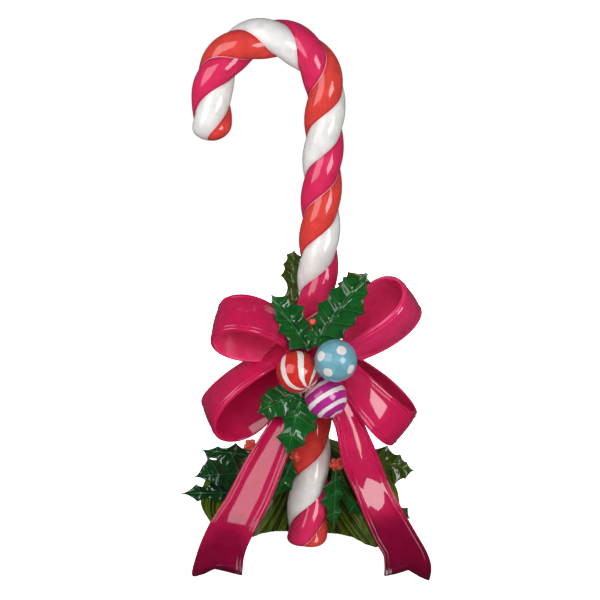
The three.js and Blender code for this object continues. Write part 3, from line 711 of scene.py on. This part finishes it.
def tail_setback(s, place):
    """How far a point at s along the tail is drawn back: for the notch between the end's corners and
    for the corners' rounding. The place is 0 in the middle of the width and 1 at its edges."""
    depth = RIBBON["notch"] * max(0, (s - RIBBON["notch_from"]) / (1 - RIBBON["notch_from"])) ** 2
    wave = (1 + cos(pi * min(place, 1))) / 2
    notch = depth * lerp(wave, max(0, 1 - place), RIBBON["notch_sharpness"])
    at_corner = max(0, (place - 1) / RIBBON["corner_width"] + 1) ** 2
    at_end = max(0, (s - RIBBON["corner_from"]) / (1 - RIBBON["corner_from"]))
    return notch + RIBBON["corner"] * at_corner * at_end


def build_tail(tail, paint):
    """One tail. The attribute drop runs from 0 at the knot to 1 at the floor, and painted shade deepens
    with it.
    """
    left = [vec(p) for p in tail["left"]]
    right = [vec(p) for p in tail["right"]]
    step = RIBBON["tail_step"]
    crown = tail["crown"]
    rings, drops = [], []
    for i in range(RIBBON["tail_stations"] + 1):
        s = i / RIBBON["tail_stations"]
        a, b = curve_at(left, s), curve_at(right, s)
        high, low = min(s + step, 1), max(s - step, 0)
        run = curve_at(left, high) + curve_at(right, high) - curve_at(left, low) - curve_at(right, low)
        outward = unit(np.cross(run, b - a))
        if outward[1] > 0:
            outward = -outward
        turn = tail["turn"] * (1 - smooth(RIBBON["turn_fades_from"], 1, s))
        a = a - outward * (crown + turn) / 2
        b = b - outward * (crown - turn) / 2
        ring = []
        for p in ribbon_ring(a, b, outward, crown, tail["apex"]):
            place = abs(2 * (p - a).dot(b - a) / (b - a).dot(b - a) - 1)
            ring.append(p - unit(run) * tail_setback(s, place))
            drops.append(s)
        rings.append(ring)
    points, faces = loft(rings, split=OUTER_POINTS)
    points[:, 2] = np.maximum(points[:, 2], 0)
    drops.append(0.0)
    make_piece("lacquered", tail["name"], "ribbon", points, faces, [paint], drop=drops)


def build_knot(paint):
    """A soft box with a few shallow folds."""
    def soft(v):
        return copysign(abs(v) ** KNOT["softness"], v)

    def point(polar, turn):
        pinch = 1 - KNOT["fold"] * cos(KNOT["folds"] * turn) * sin(polar)
        reach = soft(sin(polar)) * pinch
        share = vec((soft(cos(polar)), reach * soft(cos(turn)), reach * soft(sin(turn))))
        return vec(KNOT["centre"]) + vec(KNOT["half"]) * share

    points, faces = globe(KNOT, point)
    # Painted shade: a little of the tails' darker paint on the knot.
    drop = [KNOT["drop"]] * len(points)
    make_piece("lacquered", "bow_knot", "ribbon", points, faces, [paint], drop=drop)


# ---- balls
def ball_mesh(pole):
    """Directions of a fine sphere whose rings run round the pole."""
    pole = unit(vec(pole))
    side = unit(np.cross(pole, vec((0, 0, 1)))) if abs(pole[2]) < 0.99 else vec((1, 0, 0))
    third = np.cross(pole, side)

    def direction(polar, turn):
        level = side * cos(turn) + third * sin(turn)
        return pole * cos(polar) + level * sin(polar)

    points, faces = globe(BALL_MESH, direction)
    return points / np.linalg.norm(points, axis=1)[:, None], faces, (pole, side, third)


def build_ball(name, ball, pole, paint, painted):
    """One ball. The attribute paint is above 0 where painted says that the pattern is."""
    directions, faces, axes = ball_mesh(pole)
    values = [painted(n, axes) for n in directions]
    points = directions * BALL_RADIUS + vec(ball["centre"])
    make_piece("glossy", name, name, points, faces, [paint], paint=values)


def stripes(n, axes):
    """Millimetres inside the nearest stripe from pole to pole, below 0 outside."""
    pole, side, third = axes
    polar = acos(min(max(n.dot(pole), -1), 1))
    angle = degrees(atan2(n.dot(third), n.dot(side)))
    angle -= RED_BALL["first"] + RED_BALL["swirl"] * (polar - RED_BALL["first_at"])
    gap = 360 / RED_BALL["stripes"]
    off = abs((angle + gap / 2) % gap - gap / 2)
    return radians(RED_BALL["half_width"] - off) * sin(polar) * BALL_RADIUS


def bands(n, axes):
    """Millimetres inside the nearest band round the axis."""
    latitude = degrees(asin(min(max(n.dot(axes[0]), -1), 1)))
    off = min(abs(latitude - b) for b in PURPLE_BALL["bands"])
    return radians(PURPLE_BALL["half_width"] - off) * BALL_RADIUS


def dots(n, axes):
    """Millimetres inside the nearest dot."""
    near = max(n.dot(unit(vec(d))) for d in BLUE_BALL["dots"])
    return BLUE_BALL["dot_radius"] - acos(min(near, 1)) * BALL_RADIUS


# ---- holly leaves
def leaf_outline(spikes, length):
    """One side's outline from base to tip: scallops between spikes."""
    corners = [(0, LEAF["stem"])] + spikes + [(length, LEAF["tip"])]
    outline = [corners[0]]
    for (u0, v0), (u1, v1) in zip(corners, corners[1:]):
        chord = hypot(u1 - u0, v1 - v0)
        dip = LEAF["scallop"] * min((v0 + v1) / 2, chord * LEAF["chord_share"])
        for k in range(1, LEAF["steps"] + 1):
            t = k / LEAF["steps"]
            bow = 4 * t * (1 - t) * dip
            outline.append((lerp(u0, u1, t), max(lerp(v0, v1, t) - bow, LEAF["tip"])))
    return outline


def leaf_frame(leaf):
    """The leaf's length and its directions along, across and out."""
    along = vec(leaf["tip"]) - vec(leaf["base"])
    length = np.linalg.norm(along)
    along = unit(along)
    normal = vec(leaf["normal"])
    normal = unit(normal - along * normal.dot(along))
    return length, along, np.cross(normal, along), normal


def leaf_spines(sides, length):
    """Where each row of the mesh leaves the midrib. The rows sweep forward to both edges."""
    spines = []
    for row in zip(*sides):
        swept = sum(u - LEAF["sweep"] * v for u, v in row) / 2
        spines.append(max(swept, spines[-1] + LEAF["row_gap"] if spines else 0, 0))
    spines[-1] = length
    return spines


def leaf_form(u, f, v, width, between, length):
    """Height of the leaf as a whole: arched along, folded at the midrib and waved at the edges. Here
    u is the place along, v across, f the share of the half width, and between the place from one
    spike's row, 0, to the next one's, 1."""
    arch = LEAF["arch"] * sin(pi * min(max(u / length, 0), 1))
    spikeness = 1 - LEAF["edge_dip"] * sin(pi * between)
    wave = LEAF["wave"] * spikeness * f * f * min(width / LEAF["full_width"], 1)
    return arch + wave - LEAF["fold"] * abs(v)


def leaf_relief(f, v, width, between, to_vein, fine_rib):
    """Height of the relief on the upper face: soft ribs with finer ones, midrib with a gully on each
    side, veins and a lip along the edge."""
    big = min(width / LEAF["full_width"], 1)
    swell = sin(pi * f) * big
    rib = LEAF["rib"] * (1 - 2 * abs(sin(pi * between)) ** LEAF["rib_power"]) * swell
    fine = fine_rib * cos(LEAF["fine_ribs"] * 2 * pi * between) * swell
    midrib = LEAF["midrib"] * hump(v, LEAF["midrib_width"])
    gully = LEAF["gully"] * hump(abs(v) - LEAF["gully_place"], LEAF["gully_width"]) * big
    vein = LEAF["vein"] * hump(to_vein, LEAF["vein_width"])
    vein *= smooth(0, LEAF["vein_rise"], f) * smooth(1, LEAF["vein_fall"], f)
    lip = LEAF["lip"] * hump((1 - f) * width - LEAF["lip_width"], LEAF["lip_width"]) * big
    return rib + fine + midrib - gully + vein + lip


def leaf_faces(rows, width):
    """Faces of the upper and the lower sheet and of the strip that joins them all round."""
    shift = rows * width
    faces = []
    for i in range(rows - 1):
        for j in range(width - 1):
            a = i * width + j
            faces.append((a, a + 1, a + 1 + width, a + width))
            faces.append((shift + a, shift + a + width, shift + a + 1 + width, shift + a + 1))
        a = i * width
        b = a + width - 1
        faces.append((a, a + width, shift + a + width, shift + a))
        faces.append((b + width, b, shift + b, shift + b + width))
    last = (rows - 1) * width
    for j in range(width - 1):
        faces.append((j + 1, j, shift + j, shift + j + 1))
        faces.append((last + j, last + j + 1, shift + last + j + 1, shift + last + j))
    return faces


def build_leaf(leaf, paint):
    """One leaf. The attribute vein is the distance to the nearest vein, and rim is the share of the
    half width, up to 1 at the edge."""
    base = vec(leaf["base"])
    length, along, across, normal = leaf_frame(leaf)
    sides = [leaf_outline(leaf[k], length) for k in ("left", "right")]
    rows = len(sides[0])
    columns = [-c for c in reversed(LEAF_COLUMNS[1:])] + list(LEAF_COLUMNS)
    spines = leaf_spines(sides, length)
    fine_rib = LEAF["dark_fine_rib" if leaf["slot"] == "dark_leaf" else "fine_rib"]
    vein_start, vein_end = LEAF["vein_span"]
    top, bottom, veins, rims = [], [], [], []
    for i, spine in enumerate(spines):
        ahead = min(i + 1, rows - 1)
        between = (i % LEAF["steps"]) / LEAF["steps"]
        from_vein = min(between, 1 - between) * LEAF["steps"]
        for c in columns:
            outline = sides[0 if c > 0 else 1]
            edge, width = outline[i]
            f = abs(c)
            edge_step = hypot(outline[ahead][0] - edge, outline[ahead][1] - width)
            to_vein = from_vein * max(lerp(spines[ahead] - spine, edge_step, f), LEAF["least_step"])
            u = lerp(spine, edge, f)
            v = copysign(width * f, c)
            form = leaf_form(u, f, v, width, between, length)
            height = form + leaf_relief(f, v, width, between, to_vein, fine_rib)
            rounding = sqrt(max(1 - f ** LEAF["edge_power"], LEAF["edge_least"]))
            half = lerp(LEAF["thickness"], LEAF["edge"], f) / 2 * rounding
            point = base + along * u + across * v
            top.append(point + normal * (height + half))
            bottom.append(point + normal * min(form - half, height - LEAF["least_thickness"]))
            veins.append(min(abs(v), to_vein if vein_start < f < vein_end else LEAF["away"]))
            rims.append(f)
    points, faces = top + bottom, leaf_faces(rows, len(columns))
    attributes = dict(vein=veins * 2, rim=rims * 2)
    make_piece("glossy", leaf["name"], leaf["slot"], points, faces, [paint], crease=60, **attributes)


# ---- berries
def berry(shape, centre, radius):
    """A slightly flattened round berry with a dimple at its top."""
    made = bmesh.ops.create_icosphere(shape, subdivisions=3, radius=radius)
    for vertex in made["verts"]:
        n = vertex.co.normalized()
        dimple = BERRY_FORM["dimple"] * max(0, n.z - BERRY_FORM["rim"]) / (1 - BERRY_FORM["rim"])
        vertex.co *= 1 - BERRY_FORM["flattening"] * n.z * n.z - dimple
        vertex.co += Vector(centre)


def build_berries(cluster, paint):
    """Berries spread evenly over a ball, round a core that carries them."""
    shape = bmesh.new()
    centre = vec(cluster["centre"])
    inner = cluster["radius"] - BERRY_RADIUS
    berry(shape, centre, inner)
    for i in range(cluster["count"]):
        height = 1 - 2 * (i + 0.5) / cluster["count"]
        a = i * pi * (3 - sqrt(5))
        flat = sqrt(1 - height * height)
        berry(shape, centre + vec((flat * cos(a), flat * sin(a), height)) * inner, BERRY_RADIUS)
    shape.verts.ensure_lookup_table()
    points = [tuple(v.co) for v in shape.verts]
    faces = [tuple(v.index for v in f.verts) for f in shape.faces]
    shape.free()
    make_piece("glossy", cluster["name"], "berries", points, faces, [paint])


# ---- pleated mound
def even_places(points, samples):
    """Curve parameters of points spaced evenly along a closed curve."""
    places = np.linspace(0, 1, MOUND["plan_steps"] + 1)
    fine = [curve_at(points, t, True) for t in places]
    lengths = np.concatenate([[0], np.cumsum([np.linalg.norm(b - a) for a, b in zip(fine, fine[1:])])])
    wanted = np.linspace(0, lengths[-1], samples, endpoint=False)
    return np.interp(wanted, lengths, places)


def mound_relief(i):
    """How far the pleats and the finer ridges on them stand out at a place round the mound."""
    turn = 2 * pi * i / MOUND["fold_steps"]
    pleat = 1 - 2 * abs((1 - cos(turn)) / 2) ** MOUND["pleat_power"]
    ripple = sin(turn * MOUND["ridges"] / 2 + MOUND["ridge_shift"] * sin(turn))
    ridge = 1 - 2 * abs(ripple) ** MOUND["ridge_power"]
    return pleat * MOUND["pleat_depth"] + ridge * MOUND["ridge_depth"]


def mound_lines():
    """The wall's lines round the mound: floor point, crown point, outward direction, side, which is 0
    in the bay and 1 beyond it, and relief."""
    count = len(MOUND["plan"])
    plan = [vec((x, y, 0)) for x, y in MOUND["plan"]]
    samples = MOUND["pleats"] * MOUND["fold_steps"]
    crown = vec((*MOUND["crown_centre"], 0))
    bay_end = MOUND["bay_points"] - 1
    step = 0.001
    lines = []
    for i, t in enumerate(even_places(plan, samples)):
        along = unit(curve_at(plan, (t + step) % 1, True) - curve_at(plan, (t - step) % 1, True))
        outward = vec((-along[1], along[0], 0))
        angle = -pi / 2 - 2 * pi * i / samples
        top = crown + vec((cos(angle), sin(angle), 0)) * MOUND["crown_radius"]
        from_bay = min(t * count, count - t * count)
        side = smooth(bay_end, bay_end + MOUND["bay_blend"], from_bay)
        lines.append((curve_at(plan, t, True), top, outward, side, mound_relief(i)))
    return lines


def build_mound(paint):
    """The mound, kept clear of the cane. The attribute pleat is the relief's height."""
    lines = mound_lines()
    rings, pleats = [], []
    bay_rows = list(zip(MOUND["heights"], MOUND["bay_lean"]))
    side_rows = list(zip(MOUND["heights"], MOUND["side_lean"]))
    clear = CANE["foot_radius"] + MOUND["bay"]
    for z in np.linspace(0, MOUND["heights"][-1], MOUND["levels"]):
        bay_lean, side_lean = table_at(bay_rows, z), table_at(side_rows, z)
        axis = cane_frame(z)[0][:2]
        ring = []
        for floor, top, outward, side, relief in lines:
            lean = lerp(bay_lean, side_lean, side)
            p = lerp(floor, top, lean) + outward * relief * (1 - MOUND["crown_smoothing"] * max(lean, 0))
            from_cane = np.linalg.norm(p[:2] - axis)
            if from_cane < clear:
                p[:2] = axis + (p[:2] - axis) * clear / max(from_cane, 1)
            p[2] = z
            ring.append(p)
            pleats.append(relief)
        rings.append(ring)
    points, faces = loft(rings, flat_start=True)
    pleats.append(0)
    make_piece("pleated", "mound", "mound", points, faces, [paint], crease=70, pleat=pleats)


# ---- assembly
# The second colour of each strand is its painted shade in the crease.
STRAND_PAINTS = [
    cane_paint("orange_red_strand", rgb(226, 68, 62), rgb(170, 30, 34)),
    cane_paint("white_strand", rgb(240, 238, 235), rgb(206, 198, 198)),
    cane_paint("magenta_strand", rgb(222, 44, 94), rgb(164, 14, 58)),
]
build_cane(STRAND_PAINTS)
crimson = ribbon_paint()
for loop in LOOPS:
    build_loop(loop, crimson)
for tail in TAILS:
    build_tail(tail, crimson)
build_knot(crimson)

red = ball_paint("red_ball", rgb(206, 44, 38))
build_ball("ball_red", RED_BALL, RED_BALL["pole"], red, stripes)
blue = ball_paint("blue_ball", rgb(108, 166, 184))
build_ball("ball_blue", BLUE_BALL, (0, 0, 1), blue, dots)
purple = ball_paint("purple_ball", rgb(176, 40, 134))
build_ball("ball_purple", PURPLE_BALL, PURPLE_BALL["pole"], purple, bands)

LEAF_PAINTS = {
    "leaf": leaf_paint("holly_green", rgb(20, 90, 34), rgb(52, 120, 56), rgb(9, 48, 17)),
    "dark_leaf": leaf_paint("holly_dark", rgb(12, 62, 27), rgb(54, 96, 60), rgb(5, 32, 13)),
    "olive_leaf": leaf_paint("holly_olive", rgb(60, 86, 24), rgb(88, 110, 44), rgb(34, 50, 12)),
}
for leaf in LEAVES:
    build_leaf(leaf, LEAF_PAINTS[leaf["slot"]])
red_berries = berry_paint()
for cluster in BERRIES:
    build_berries(cluster, red_berries)
build_mound(mound_paint())


# ---- stage, light and camera
def make_stage(name, points, faces, paper):
    """A part of the white studio, which gives the object no reflection, light or shade."""
    mesh = bpy.data.meshes.new(name)
    mesh.from_pydata(points, [], faces)
    mesh.materials.append(paper)
    stage = bpy.data.objects.new(name, mesh)
    scene.collection.objects.link(stage)
    stage.visible_glossy = False
    stage.visible_diffuse = False
    stage.visible_shadow = False


def make_studio():
    """A white paper floor with a wall of the same paper far round it. Both glow, so that they show
    as plain white, which the photo is cut out on."""
    p = Paint("studio_paper")
    paper = p.mix(p.span(p.noise(3, 2), 0.3, 0.7), rgb(246, 246, 246), rgb(250, 250, 250))
    looks = {
        "Base Color": paper, "Roughness": 0.9, "Specular IOR Level": 0.1,
        "Emission Color": (1, 1, 1, 1), "Emission Strength": 1.0,
    }
    p.put(p.shader, looks)
    half, wall = STUDIO["half"], STUDIO["wall"]
    corners = [(-half, -half), (half, -half), (half, half), (-half, half)]
    foot = [(x, y, 0) for x, y in corners]
    top = [(x, y, wall) for x, y in corners]
    make_stage("studio_floor", foot, [(0, 1, 2, 3)], p.material)
    sides = [(i, (i + 1) % 4, 4 + (i + 1) % 4, 4 + i) for i in range(4)]
    make_stage("studio_wall", foot + top, sides, p.material)


def make_light(name, lamp, distance, energy, mirrored=True, gloss_only=False):
    """A square lamp that faces the object."""
    data = bpy.data.lights.new(name, "AREA")
    data.shape = "SQUARE"
    data.size = lamp["size"]
    data.energy = energy
    light = bpy.data.objects.new(name, data)
    az, el = radians(lamp["azimuth"]), radians(lamp["elevation"])
    toward = vec((sin(az) * cos(el), -cos(az) * cos(el), sin(el)))
    side = unit(np.cross(vec((0, 0, 1)), toward))
    facing = Matrix(np.column_stack([side, np.cross(toward, side), toward]).tolist())
    twist = Matrix.Rotation(radians(lamp.get("twist", 0)), 4, "Z")
    place = Matrix.Translation(vec(STUDIO["light_aim"]) + toward * distance)
    light.matrix_world = place @ facing.to_4x4() @ twist
    light.visible_glossy = mirrored
    light.visible_diffuse = not gloss_only
    scene.collection.objects.link(light)


make_studio()
for box in SOFT_BOXES:
    make_light(box["name"] + "_soft_box", box, SOFT_BOX_DISTANCE, box["energy"])
    make_light(box["name"] + "_gloss", box, SOFT_BOX_DISTANCE + TWIN_BEHIND, box["gloss"], gloss_only=True)
for fill in FILLS:
    make_light(fill["name"], fill, FILL_DISTANCE, fill["energy"], mirrored=False)

world = bpy.data.worlds.new("studio_air")
world.use_nodes = True
background = world.node_tree.nodes["Background"]
background.inputs["Color"].default_value = STUDIO["air"]
background.inputs["Strength"].default_value = STUDIO["air_strength"]
scene.world = world
scene.view_settings.view_transform = "Standard"

lens = bpy.data.cameras.new("photo_camera")
lens.angle = radians(CAMERA["field"])
camera = bpy.data.objects.new("photo_camera", lens)
camera.matrix_world = (
    Matrix.Translation(CAMERA["place"])
    @ Matrix.Rotation(radians(90 + CAMERA["pitch"]), 4, "X")
    @ Matrix.Rotation(radians(CAMERA["roll"]), 4, "Z")
)
scene.collection.objects.link(camera)
scene.camera = camera
